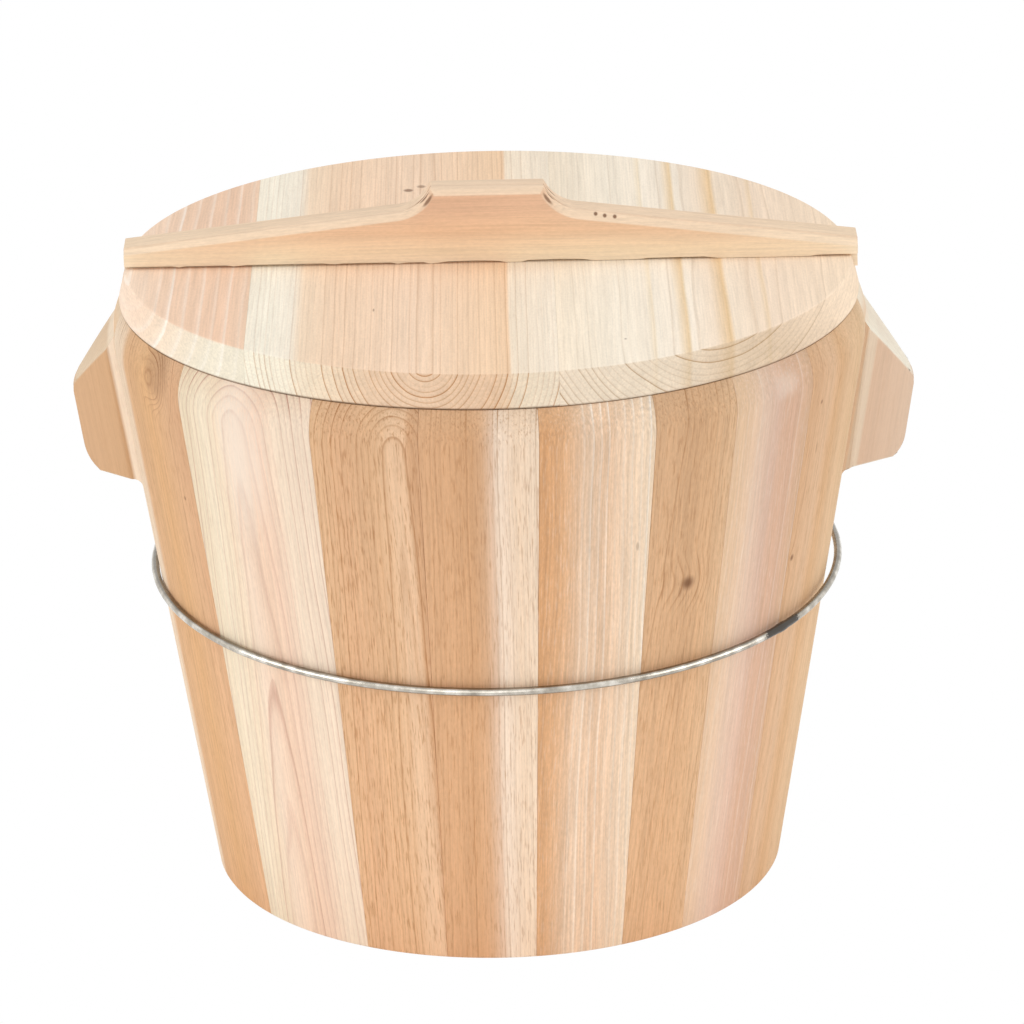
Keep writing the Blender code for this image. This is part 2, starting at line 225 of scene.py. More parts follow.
# Size of the wood's figure across and along the grain, in millimetres
SWAY = (26, 150)
FIBRE = (0.8, 40)
STRIPE = (5, 240)
DASH = (0.6, 8)
SILK = (0.7, 2.2)

# How dark a ring is through its year: pale early wood, then late wood up to a sudden stop at the winter
YEAR = ((0.0, 0.4), (0.06, 0.0), (0.5, 0.04), (0.76, 0.25), (0.91, 1.0), (1.0, 0.6))

SCUFF_COLOUR = "#F1E6D8"
# Colour of the painted shadow along the seam where the lid sits on the rim
SEAM_SHADOW_COLOUR = "#5E4028"
KNOT_COLOUR = "#6B452E"
# Heights above the lid's seat between which that painted seam shadow fades out
SEAM_SHADOW_HEIGHTS = (0.35 * MM, 0.9 * MM)

# The wire's mottling and grit, and how ragged the scorch's ends are
ZINC_MOTTLE = 6 * MM
ZINC_GRIT = 1.1 * MM
SCORCH_RAGGED = 9 * MM
BAMBOO_BUNDLE = 0.8 * MM


def plain(shade):
    """Colour zones that are all alike."""
    return ((0, shade), (1, shade))


def zoned(material, spread, zones):
    """Colour by place across a board, from places in millimetres and their hex colours."""
    low, high = zones[0][0], zones[-1][0]
    where = add(material, "ShaderNodeMapRange", {"Value": spread, "From Min": low * MM,
                "From Max": high * MM})
    stops = [((at - low) / (high - low), shade) for at, shade in zones]
    return add(material, "ShaderNodeValToRGB", {"Fac": where.outputs[0]}, stops).outputs["Color"]


def figure(material, place, size, roughness):
    """A noise drawn out to a size across and along the grain."""
    across, along = (1 / (length * MM) for length in size)
    drawn_out = add(material, "ShaderNodeVectorMath", {0: place, 1: (across, across, along)},
                    operation="MULTIPLY").outputs[0]
    return add(material, "ShaderNodeTexNoise", {"Vector": drawn_out, "Scale": 1.0, "Detail": 2.0,
               "Roughness": roughness})


def from_spot(material, place, spot, halves):
    """Distance from a spot, counted in its own three half sizes."""
    offset = add(material, "ShaderNodeVectorMath", {0: place, 1: spot}, operation="SUBTRACT").outputs[0]
    shrunk = add(material, "ShaderNodeVectorMath", {0: offset, 1: halves}, operation="DIVIDE").outputs[0]
    return add(material, "ShaderNodeVectorMath", {0: shrunk}, operation="LENGTH").outputs["Value"]


def fir(name, middle, turn, zones, late, pith, lean=(0.0, 0.0), ring=3.0, contrast=0.4, wander=1.0,
        across=(1, 0, 0), streak=0.08, fleck=0.0, end=plain("#E2C09C"), end_share=0.3, end_rings=2.2,
        top_light=None, fade=1.0, knots=(), marks=(), scuffs=(), clear=None, seam_shadow=0.0):
    """Sanded, unoiled fir: colour zones of heart and sapwood across the board, thin late wood rings round a
    pith line, fine fibres along the grain and a matt surface. middle is the middle of the board's outer face.
    turn lays its local X to the right, Y inwards and Z along the grain. zones are (place, colour) along the
    local direction across. pith is right and inwards of the middle, and lean its drift per length going up.
    Places, pith, ring and wander are in millimetres. end gives the end grain's colours in zones, end_rings
    how much stronger the rings are there, crown the colour and share of a painted highlight on faces that
    look up, and fade how much of the colour is left at the top of a stave under a painted shade that deepens
    towards the rim. clear gives two places between which the rings fade in, scuffs are spots rubbed pale, and
    grime is how dark a painted shadow along the seam on the rim makes the lowest edge of a lid board."""
    material = new_material(name)
    source = add(material, "ShaderNodeTexCoord")
    place, normal = source.outputs["Object"], source.outputs["Normal"]
    board = add(material, "ShaderNodeMapping", {"Vector": place, "Location": middle, "Rotation": turn},
                vector_type="TEXTURE").outputs[0]

    # The grain is never straight: it wanders slowly along the trunk
    sway = figure(material, board, SWAY, 0.45).outputs["Color"]
    sway = add(material, "ShaderNodeVectorMath", {0: sway, 1: (0.5, 0.5, 0.5)},
               operation="SUBTRACT").outputs[0]
    sway = add(material, "ShaderNodeVectorMath", {0: sway, "Scale": 4 * wander * MM},
               operation="SCALE").outputs[0]
    grown = add(material, "ShaderNodeVectorMath", {0: board, 1: sway}, operation="ADD").outputs[0]

    # Distance from the pith line
    height = add(material, "ShaderNodeSeparateXYZ", {0: grown}).outputs["Z"]
    drift = add(material, "ShaderNodeVectorMath", {0: (*lean, 1), "Scale": height},
                operation="SCALE").outputs[0]
    apart = add(material, "ShaderNodeVectorMath", {0: grown, 1: drift}, operation="SUBTRACT").outputs[0]
    apart = add(material, "ShaderNodeVectorMath", {0: apart, 1: (pith[0] * MM, pith[1] * MM, 0)},
                operation="SUBTRACT").outputs[0]
    radius = add(material, "ShaderNodeVectorMath", {0: apart}, operation="LENGTH").outputs["Value"]

    # A knot pushes the rings aside, darkens them and has a dark core
    core = 0.0
    crowd = 0.0
    for spot, axis, size, depth, shove, reach in knots:
        offset = add(material, "ShaderNodeVectorMath", {0: place, 1: spot}, operation="SUBTRACT").outputs[0]
        side = add(material, "ShaderNodeVectorMath", {0: offset, 1: axis},
                   operation="CROSS_PRODUCT").outputs[0]
        away = add(material, "ShaderNodeVectorMath", {0: side}, operation="LENGTH").outputs["Value"]
        push = add(material, "ShaderNodeMapRange", {"Value": away, "From Min": 0.0, "From Max": reach,
                   "To Min": shove, "To Max": 0.0}, interpolation_type="SMOOTHERSTEP").outputs[0]
        radius = add(material, "ShaderNodeMath", {0: radius, 1: push}, operation="ADD").outputs[0]
        near = add(material, "ShaderNodeMath", {0: push, 1: shove / 2}, operation="DIVIDE").outputs[0]
        crowd = add(material, "ShaderNodeMath", {0: crowd, 1: near}, operation="MAXIMUM").outputs[0]
        dark = add(material, "ShaderNodeMapRange", {"Value": away, "From Min": 0.2 * size,
                   "From Max": 1.4 * size, "To Min": depth, "To Max": 0.0},
                   interpolation_type="SMOOTHSTEP").outputs[0]
        core = add(material, "ShaderNodeMath", {0: core, 1: dark}, operation="MAXIMUM").outputs[0]
    # A mark is a small dark pit or pitch streak
    for spot, halves, depth in marks:
        away = from_spot(material, place, spot, halves)
        dark = add(material, "ShaderNodeMapRange", {"Value": away, "From Min": 0.4, "From Max": 1.0,
                   "To Min": depth, "To Max": 0.0}, interpolation_type="SMOOTHSTEP").outputs[0]
        core = add(material, "ShaderNodeMath", {0: core, 1: dark}, operation="MAXIMUM").outputs[0]

    # Rings, of which some years are stronger than others
    count = add(material, "ShaderNodeMath", {0: radius, 1: ring * MM}, operation="DIVIDE").outputs[0]
    year = add(material, "ShaderNodeMath", {0: count}, operation="FLOOR").outputs[0]
    season = add(material, "ShaderNodeMath", {0: count}, operation="FRACT").outputs[0]
    vigour = add(material, "ShaderNodeTexWhiteNoise", {"W": year}, noise_dimensions="1D").outputs["Value"]
    growth = add(material, "ShaderNodeValToRGB", {"Fac": season}, YEAR).outputs["Color"]
    weight = add(material, "ShaderNodeMath", {0: vigour, 1: vigour, 2: 0.15},
                 operation="MULTIPLY_ADD").outputs[0]
    late_wood = add(material, "ShaderNodeMath", {0: growth, 1: weight}, operation="MULTIPLY").outputs[0]
    if knots:
        stronger = add(material, "ShaderNodeMath", {0: crowd, 1: 1.0}, operation="ADD").outputs[0]
        late_wood = add(material, "ShaderNodeMath", {0: late_wood, 1: stronger},
                        operation="MULTIPLY").outputs[0]

    # Fibres, broad streaks, short dashes and silky specks along the grain
    fibre, stripe, dash, silk = (figure(material, grown, size, 0.55).outputs["Fac"]
                                 for size in (FIBRE, STRIPE, DASH, SILK))

    # Colour: zones, end grain, a painted highlight on upward faces and darker late wood
    spread = add(material, "ShaderNodeVectorMath", {0: grown, 1: across},
                 operation="DOT_PRODUCT").outputs["Value"]
    facing = add(material, "ShaderNodeVectorMath", {0: normal, 1: turn.to_matrix() @ UP},
                 operation="DOT_PRODUCT").outputs["Value"]
    facing = add(material, "ShaderNodeMath", {0: facing}, operation="ABSOLUTE").outputs[0]
    ends = add(material, "ShaderNodeMapRange", {"Value": facing, "From Min": 0.3,
               "From Max": 0.65}).outputs[0]
    cut = add(material, "ShaderNodeMath", {0: ends, 1: end_share}, operation="MULTIPLY").outputs[0]
    body = add(material, "ShaderNodeMix", {0: cut, 6: zoned(material, spread, zones),
               7: zoned(material, spread, end)}, data_type="RGBA").outputs[2]
    # Painted highlight: faces that look up are blended towards a paler colour, as if lit from above
    if top_light:
        shade, most = top_light
        upward = add(material, "ShaderNodeVectorMath", {0: normal, 1: UP},
                     operation="DOT_PRODUCT").outputs["Value"]
        top_lit = add(material, "ShaderNodeMapRange", {"Value": upward, "From Min": 0.2, "From Max": 0.6,
                     "To Min": 0.0, "To Max": most}).outputs[0]
        body = add(material, "ShaderNodeMix", {0: top_lit, 6: body, 7: linear(shade)},
                   data_type="RGBA").outputs[2]
    share = add(material, "ShaderNodeMapRange", {"Value": ends, "To Min": contrast,
                "To Max": end_rings * contrast}).outputs[0]
    share = add(material, "ShaderNodeMath", {0: late_wood, 1: share}, operation="MULTIPLY",
                use_clamp=True).outputs[0]
    if clear:
        shown = add(material, "ShaderNodeMapRange", {"Value": spread, "From Min": clear[0] * MM,
                    "From Max": clear[1] * MM}).outputs[0]
        share = add(material, "ShaderNodeMath", {0: share, 1: shown}, operation="MULTIPLY").outputs[0]
    body = add(material, "ShaderNodeMix", {0: share, 6: body, 7: linear(late)}, data_type="RGBA").outputs[2]

    # Dashes, the painted shade towards the rim and the fibres, then scuffs, the painted seam shadow and knots
    # on top
    if fleck:
        dashed = add(material, "ShaderNodeMapRange", {"Value": dash, "From Min": 0.54, "From Max": 0.68,
                     "To Min": 0.0, "To Max": fleck}).outputs[0]
        body = add(material, "ShaderNodeMix", {0: dashed, 6: body, 7: linear(late)},
                   data_type="RGBA").outputs[2]
    # Painted shade: the colour is darkened steadily towards the top of the stave, as under the lid
    if fade != 1:
        pale = add(material, "ShaderNodeMapRange", {"Value": height, "From Min": -BARREL_HEIGHT / 2,
                   "From Max": BARREL_HEIGHT / 2, "To Min": 1.0, "To Max": fade}).outputs[0]
        body = add(material, "ShaderNodeVectorMath", {0: body, "Scale": pale}, operation="SCALE").outputs[0]
    for noise, swing in ((fibre, streak), (stripe, 0.7 * streak), (silk, 0.6 * streak)):
        level = add(material, "ShaderNodeMapRange", {"Value": noise, "From Min": 0.25, "From Max": 0.75,
                    "To Min": 1 - swing, "To Max": 1 + swing}).outputs[0]
        body = add(material, "ShaderNodeVectorMath", {0: body, "Scale": level}, operation="SCALE").outputs[0]
    for spot, halves, most in scuffs:
        away = add(material, "ShaderNodeMath", {0: from_spot(material, place, spot, halves), 1: fibre},
                   operation="ADD").outputs[0]
        rubbed = add(material, "ShaderNodeMapRange", {"Value": away, "From Min": 0.6, "From Max": 1.5,
                     "To Min": most, "To Max": 0.0}, interpolation_type="SMOOTHSTEP").outputs[0]
        body = add(material, "ShaderNodeMix", {0: rubbed, 6: body, 7: linear(SCUFF_COLOUR)},
                   data_type="RGBA").outputs[2]
    # Painted shadow: the lowest edge of a lid board is darkened where it sits on the rim, along the seam
    if seam_shadow:
        above = add(material, "ShaderNodeSeparateXYZ", {0: place}).outputs["Z"]
        low, high = (LID_SEAT + up for up in SEAM_SHADOW_HEIGHTS)
        seam_shading = add(material, "ShaderNodeMapRange", {"Value": above, "From Min": low, "From Max": high,
                    "To Min": seam_shadow, "To Max": 0.0}).outputs[0]
        body = add(material, "ShaderNodeMix", {0: seam_shading, 6: body, 7: linear(SEAM_SHADOW_COLOUR)},
                   data_type="RGBA").outputs[2]
    if knots or marks:
        body = add(material, "ShaderNodeMix", {0: core, 6: body, 7: linear(KNOT_COLOUR)},
                   data_type="RGBA").outputs[2]

    rough = add(material, "ShaderNodeMapRange", {"Value": late_wood, "To Min": 0.8,
                "To Max": 0.65}).outputs[0]
    relief = add(material, "ShaderNodeMath", {0: late_wood, 1: 0.6, 2: fibre},
                 operation="MULTIPLY_ADD").outputs[0]
    bump = add(material, "ShaderNodeBump", {"Height": relief, "Strength": 0.4,
               "Distance": 0.1 * MM}).outputs[0]
    shader = add(material, "ShaderNodeBsdfPrincipled", {"Base Color": body, "Roughness": rough,
                 "Normal": bump, "IOR": 1.5, "Specular IOR Level": 0.12})
    add(material, "ShaderNodeOutputMaterial", {"Surface": shader.outputs[0]})
    return material


def bamboo():
    """Split bamboo, pale straw with close fibre bundles along the pin."""
    material = new_material("split_bamboo")
    place = add(material, "ShaderNodeTexCoord").outputs["Object"]
    bundle = add(material, "ShaderNodeTexNoise", {"Vector": place, "Scale": 1 / BAMBOO_BUNDLE, "Detail": 3.0})
    colour = add(material, "ShaderNodeMix", {0: bundle.outputs["Fac"], 6: linear("#C9AE73"),
                 7: linear("#E6D3A0")}, data_type="RGBA").outputs[2]
    shader = add(material, "ShaderNodeBsdfPrincipled", {"Base Color": colour, "Roughness": 0.5})
    add(material, "ShaderNodeOutputMaterial", {"Surface": shader.outputs[0]})
    return material


def galvanised_wire(weld):
    """Zinc-dipped steel wire, a little mottled, with painted shade on its upper and lower sides, scorched
    over the weld.
    """
    material = new_material("galvanised_wire")
    source = add(material, "ShaderNodeTexCoord")
    place = source.outputs["Object"]
    mottle, grit = (add(material, "ShaderNodeTexNoise", {"Vector": place, "Scale": 1 / size,
                        "Detail": 3.0}).outputs["Fac"] for size in (ZINC_MOTTLE, ZINC_GRIT))
    offset = add(material, "ShaderNodeVectorMath", {0: place, 1: weld}, operation="DISTANCE").outputs["Value"]
    ragged = add(material, "ShaderNodeMath", {0: grit, 1: SCORCH_RAGGED, 2: offset},
                 operation="MULTIPLY_ADD").outputs[0]
    scorched = add(material, "ShaderNodeMapRange", {"Value": ragged, "From Min": SCORCH_LENGTH / 2 + 2 * MM,
                   "From Max": SCORCH_LENGTH / 2 + 4 * MM, "To Min": 1.0, "To Max": 0.0},
                   interpolation_type="SMOOTHSTEP").outputs[0]
    zinc = add(material, "ShaderNodeValToRGB", {"Fac": mottle},
               ((0.3, "#A49C90"), (0.48, "#C2BBAF"), (0.65, "#E6E0D6"))).outputs["Color"]
    # Painted shade: the wire's upper and lower sides are darkened by the way they face, standing in for
    # shadow and dark reflections
    upright = add(material, "ShaderNodeSeparateXYZ", {0: source.outputs["Normal"]}).outputs["Z"]
    upright = add(material, "ShaderNodeMapRange", {"Value": upright, "From Min": -1.0}).outputs[0]
    edge_shade = add(material, "ShaderNodeValToRGB", {"Fac": upright},
                 ((0.1, 0.75), (0.34, 0.0), (0.82, 0.0), (0.96, 0.75))).outputs["Color"]
    zinc = add(material, "ShaderNodeMix", {0: edge_shade, 6: zinc, 7: linear("#77726A")},
               data_type="RGBA").outputs[2]
    colour = add(material, "ShaderNodeMix", {0: scorched, 6: zinc, 7: linear("#45403A")},
                 data_type="RGBA").outputs[2]
    metal = add(material, "ShaderNodeMath", {0: scorched, 1: -0.6, 2: 1.0},
                operation="MULTIPLY_ADD").outputs[0]
    rough = add(material, "ShaderNodeMapRange", {"Value": grit, "To Min": 0.16, "To Max": 0.30}).outputs[0]
    bump = add(material, "ShaderNodeBump", {"Height": mottle, "Strength": 0.12,
               "Distance": 0.2 * MM}).outputs[0]
    shader = add(material, "ShaderNodeBsdfPrincipled", {"Base Color": colour, "Metallic": metal,
                 "Roughness": rough, "Normal": bump})
    add(material, "ShaderNodeOutputMaterial", {"Surface": shader.outputs[0]})
    return material


# Barrel

def outside_of_wall():
    """Radius and height up the outside of the wall, from the foot to the rim."""
    shoulder_start = BARREL_HEIGHT - SHOULDER_HEIGHT
    points = [(FOOT_RADIUS - FOOT_ROUND, 0), (wall_radius(FOOT_ROUND / 3) - FOOT_ROUND / 3, FOOT_ROUND / 3),
              (wall_radius(FOOT_ROUND), FOOT_ROUND)]
    points += [(wall_radius(height), height) for height in (*WALL_STATIONS, shoulder_start)]
    for step in range(1, SHOULDER_STEPS + 1):
        share = step / SHOULDER_STEPS
        height = shoulder_start + share * SHOULDER_HEIGHT
        points.append((wall_radius(height) - SHOULDER_PULL * share ** 2, height))
    return points


def inside_of_wall():
    """Radius and height down the inside of the wall, from the rim over the ledge to the foot."""
    rim = inner_radius(BARREL_HEIGHT)
    ledge = inner_radius(LEDGE_HEIGHT)
    return [(rim + RIM_ROUND, BARREL_HEIGHT), (rim, BARREL_HEIGHT - RIM_ROUND), (ledge, LEDGE_HEIGHT),
            (ledge - LEDGE_WIDTH, LEDGE_HEIGHT), (inner_radius(0) - LEDGE_WIDTH, 0)]


def with_ear(points, reach, foot, corner_depth, corner_height, roundness):
    """The outside of the wall with an ear's side profile set into it: fillet, foot, tip and sloping top."""
    fillet_start = foot - EAR_FILLET
    ear = [(wall_radius(fillet_start), fillet_start)]
    for step in range(1, EAR_STEPS + 1):
        turn = math.radians(90) * step / EAR_STEPS
        ear.append((wall_radius(fillet_start) + EAR_FILLET * (1 - math.cos(turn)),
                    fillet_start + EAR_FILLET * math.sin(turn)))
    tip_height = EAR_TOP_HEIGHT - reach / (WALL_FLARE + 1 / math.tan(EAR_TOP_SLOPE))
    tip = wall_radius(tip_height) + reach
    for step in range(EAR_STEPS + 1):
        share = step / EAR_STEPS
        height = foot + corner_height * share
        ear.append((wall_radius(height) + reach - corner_depth * (1 - share) ** roundness, height))
    ear += [(tip - 0.2 * EAR_CORNER, tip_height - EAR_CORNER), (tip - 0.2 * EAR_CORNER, tip_height),
            (tip - EAR_CORNER / math.tan(EAR_TOP_SLOPE), tip_height + EAR_CORNER)]
    above = [(radius, height) for radius, height in points
             if height > tip_height and radius > tip - (height - tip_height) / math.tan(EAR_TOP_SLOPE)]
    below = [(radius, height) for radius, height in points if height < fillet_start]
    return below + ear + above


def stave_mesh(half_span, ear=None):
    """One stave facing the front: the wall's section spun about the barrel's axis, with eased long edges."""
    outside = outside_of_wall()
    section = (with_ear(outside, ear[0], *ear[2:]) if ear else outside) + inside_of_wall()
    turn = half_span - SEAM / 2 / FOOT_RADIUS
    bm = bmesh.new()
    verts = [bm.verts.new((0, -radius, height)) for radius, height in section]
    edges = [bm.edges.new((verts[index - 1], vert)) for index, vert in enumerate(verts)]
    bmesh.ops.rotate(bm, verts=verts, cent=(0, 0, 0), matrix=Matrix.Rotation(-turn, 3, "Z"))
    steps = math.ceil(2 * turn / STAVE_FACET)
    bmesh.ops.spin(bm, geom=verts + edges, cent=(0, 0, 0), axis=UP, angle=2 * turn, steps=steps)
    bmesh.ops.holes_fill(bm, edges=[edge for edge in bm.edges if edge.is_boundary])
    bmesh.ops.recalc_face_normals(bm, faces=bm.faces)
    if ear:
        cut_cheeks(bm, half_span, ear[0], ear[1])
    sides = [face for face in bm.faces if len(face.verts) > 8 and abs(face.normal.x) > 0.9]
    long_edges = {edge for face in sides for edge in face.edges}
    bmesh.ops.bevel(bm, geom=list(long_edges), offset=ARRIS, segments=2, profile=0.5, material=-1,
                    affect="EDGES")
    return bm


def cut_cheeks(bm, half_span, reach, step):
    """Bevel both cheeks of the ear with planes that lean out with the wall, and ease the edges they leave."""
    foot = wall_radius(EAR_FOOT_HEIGHT)
    step_half = (foot + step) * math.tan(half_span)
    rise = Vector((0, -WALL_FLARE, 1))
    for side in (-1, 1):
        at_step = Vector((side * step_half, -foot - step, EAR_FOOT_HEIGHT))
        at_tip = Vector((side * EAR_TIP_WIDTH / 2, -foot - reach, EAR_FOOT_HEIGHT))
        normal = rise.cross(at_tip - at_step) * side
        if normal.y > 0:
            normal.negate()
        everything = bm.verts[:] + bm.edges[:] + bm.faces[:]
        bmesh.ops.bisect_plane(bm, geom=everything, plane_co=at_step, plane_no=normal, clear_outer=True)
        rim = [edge for edge in bm.edges if edge.is_boundary]
        cheek = bmesh.ops.holes_fill(bm, edges=rim)["faces"]
        cheek_edges = [edge for face in cheek for edge in face.edges]
        bmesh.ops.bevel(bm, geom=cheek_edges, offset=EAR_EDGE_ROUND, segments=3, profile=0.5, material=-1,
                        affect="EDGES")


# Each stave's wood: colour zones in millimetres to the right of its middle, and the pith of its rings
# fade, where given, is how much colour a stave keeps at its rim under the painted shade towards the top
STAVE_WOOD = {
    "stave_front_1": dict(
        zones=((-33, "#F3DDC3"), (-19, "#F0D7BB"), (-13, "#DFB48B"), (10, "#E1B384"), (26, "#E2B68E"),
               (33, "#DDB08A")),
        late="#9C6236", pith=(95, 10), lean=(0.03, 0.0), ring=2.8, contrast=0.4, fleck=0.25),
    "stave_front_2": dict(
        zones=((-31, "#EBD9BC"), (-20, "#F1E1C7"), (-13, "#EFDBC0"), (-6, "#F2DAC3"), (4, "#EECEB4"),
               (11, "#EFD1B9"), (18, "#F3DEC6"), (31, "#F2DDC6")),
        late="#BC8B78", pith=(-3, -15), lean=(0.01, -0.03), ring=2.2, contrast=0.55, wander=1.3, fleck=0.15,
        fade=0.895),
    "stave_front_3": dict(
        zones=((-20, "#E8BD94"), (-10, "#E5B78F"), (3, "#E8BC93"), (8, "#EAC19A"), (11, "#F1CAA5"),
               (16, "#F0C8A3"), (18, "#DEAF87"), (20, "#E0B189")),
        late="#A9713F", pith=(13, -10), lean=(0.0, -0.012), ring=1.8, contrast=0.55, fleck=0.5, fade=0.82),
    "stave_front_4": dict(
        zones=((-21, "#E2B38A"), (-3, "#DDAD83"), (1, "#E0B48E"), (5, "#EACAAF"), (7, "#F7E1CB"),
               (10, "#F8E0C8"), (14, "#F7DCC0"), (21, "#FAE2C8")),
        late="#B07B4C", pith=(-80, 10), ring=2.0, contrast=0.5, fleck=0.4, fade=0.83),
    "stave_front_5": dict(
        zones=((-21, "#DAA678"), (-14, "#DDAE84"), (-9, "#E1BA97"), (-4, "#E8C8AA"), (4, "#E8C4A3"),
               (10, "#ECCDAF"), (21, "#F0D7BA")),
        late="#FCF0E2", pith=(-104, 10), ring=3.3, contrast=0.8, wander=1.8, fleck=0.15, streak=0.14,
        clear=(-10, -4)),
    "stave_front_6": dict(
        zones=((-17, "#E4B991"), (0, "#E1B58C"), (8, "#E3B88F"), (17, "#E7C099")),
        late="#AC7644", pith=(90, 10), lean=(0.10, 0.0), ring=2.8, contrast=0.45, fleck=0.35, streak=0.1,
        fade=0.76),
    "stave_front_7": dict(
        zones=((-21, "#E8C5A2"), (-13, "#E8C7A9"), (-8, "#E6C7AF"), (0, "#E1BEA8"), (6, "#DBB398"),
               (12, "#DBB398"), (21, "#DCB594")),
        late="#F3E0CE", pith=(90, 10), lean=(0.04, 0.0), ring=4.0, contrast=0.35, fleck=0.25, fade=0.81),
    "stave_front_8": dict(
        zones=((-31, "#DBB18B"), (-17, "#E1BC99"), (-8, "#DDB389"), (4, "#E4C09A"), (22, "#E4C29B"),
               (31, "#E9CBA8")),
        late="#AE7B50", pith=(-100, 10), lean=(0.02, 0.0), ring=4.5, contrast=0.22, fleck=0.3),
    "stave_ear_right": dict(
        zones=((-24, "#D5BAA2"), (-4.6, "#D1B298"), (-3.7, "#DAC5AD"), (-0.1, "#DAC5AD"), (0.7, "#DEBF9F"),
               (16, "#DEBF9F")),
        across=(0, 1, 0), late="#B58A66", pith=(90, 10), contrast=0.15, wander=0.3, streak=0.04, fleck=0.1,
        end=plain("#EAE3D2"), end_share=1.0, fade=1.0),
    "stave_ear_left": dict(
        zones=((-21, "#CDA682"), (-2.0, "#CBA37D"), (-0.6, "#F3E1CC"), (1.8, "#F3E1CC"), (2.6, "#E0BB96"),
               (16, "#E0BB96")),
        across=(0, 1, 0), late="#A97B50", pith=(90, 10), contrast=0.15, wander=0.3, streak=0.04, fleck=0.1,
        end=plain("#DAC5AA"), end_share=1.0, fade=1.0),
}
# How much of a stave's colour is left at the rim under the painted shade towards the top, where a stave does
# not say so
RIM_SHADE = 0.86

# The staves at the back are cut from the same boards as these at the front
BACK_TWINS = (7, 2, 3, 4, 6, 2, 5, 1)
for number, twin in enumerate(BACK_TWINS, 1):
    STAVE_WOOD[f"stave_back_{number}"] = STAVE_WOOD[f"stave_front_{twin}"]


def on_wall(azimuth, height):
    """A point on the outside of the barrel and the direction out of it."""
    out = Vector((math.sin(azimuth), -math.cos(azimuth), 0))
    return out * wall_radius(height) + UP * height, out


# Knots: stave, azimuth in degrees, height and core radius in millimetres, how dark the core is, and how far
# in millimetres it shoves the rings and over what reach
KNOTS = (
    ("stave_front_6", 32.1, 160.0, 3.0, 0.8, 5, 18),
    ("stave_front_8", 57.2, 153.0, 1.4, 0.7, 2.2, 8),
    ("stave_front_8", 59.6, 218.0, 0.9, 0.6, 1.4, 5),
    ("stave_front_1", -60.0, 231.5, 2.5, 0.2, 16, 21),
    ("stave_back_3", 146.0, 120.0, 2.4, 0.7, 4, 14),
    ("stave_back_8", -112.0, 70.0, 1.8, 0.7, 3, 11),
)

# Pits and pitch streaks: stave, azimuth in degrees, height, half width and half height in millimetres, and
# how dark they are
STAVE_MARKS = (
    ("stave_front_1", -56.6, 184.4, 0.9, 1.3, 0.50),
    ("stave_front_5", 22.5, 180.7, 0.8, 3.0, 0.35),
    ("stave_front_6", 30.7, 156.7, 1.2, 3.2, 0.25),
    ("stave_front_8", 60.2, 198.0, 0.8, 5.0, 0.30),
    ("stave_front_8", 55.2, 176.8, 1.6, 14.0, 0.15),
    ("stave_front_1", -60.1, 236.0, 13.0, 15.0, 0.26),
)

# Spots rubbed pale: stave, azimuth in degrees, height, half width and half height in millimetres, and how
# pale they are
STAVE_SCUFFS = (
    ("stave_front_2", -40.4, 217.0, 16.0, 60.0, 0.45),
    ("stave_front_7", 49.4, 233.5, 11.0, 8.0, 0.28),
)


def stave_spots(table, name):
    """Place, half sizes and strength of one stave's spots."""
    return [(on_wall(math.radians(at), height * MM)[0], (wide * MM, wide * MM, tall * MM), strength)
            for stave, at, height, wide, tall, strength in table if stave == name]


def build_staves():
    """All staves in their order round the barrel, each in its own wood."""
    spans = [*FRONT_SPANS, EAR_SPAN, *BACK_SPANS, EAR_SPAN]
    names = [f"stave_front_{index + 1}" for index in range(len(FRONT_SPANS))] + ["stave_ear_right"]
    names += [f"stave_back_{index + 1}" for index in range(len(BACK_SPANS))] + ["stave_ear_left"]
    azimuth = -math.radians(sum(FRONT_SPANS) / 2)
    for name, span in zip(names, spans):
        half_span = math.radians(span) / 2
        middle = azimuth + half_span
        bm = stave_mesh(half_span, EARS.get(name))
        bmesh.ops.rotate(bm, verts=bm.verts, cent=(0, 0, 0), matrix=Matrix.Rotation(middle, 3, "Z"))
        face = on_wall(middle, BARREL_HEIGHT / 2)[0]
        knots = [(*on_wall(math.radians(at), height * MM), size * MM, depth, shove * MM, reach * MM)
                 for stave, at, height, size, depth, shove, reach in KNOTS if stave == name]
        look = {"fade": RIM_SHADE, **STAVE_WOOD[name]}
        material = fir(f"fir_{name}", face, Euler((WALL_TILT, 0, middle)), knots=knots,
                       marks=stave_spots(STAVE_MARKS, name), scuffs=stave_spots(STAVE_SCUFFS, name), **look)
        finish_piece(f"{name}_wood", bm, material, "barrel", [name])
        azimuth += 2 * half_span


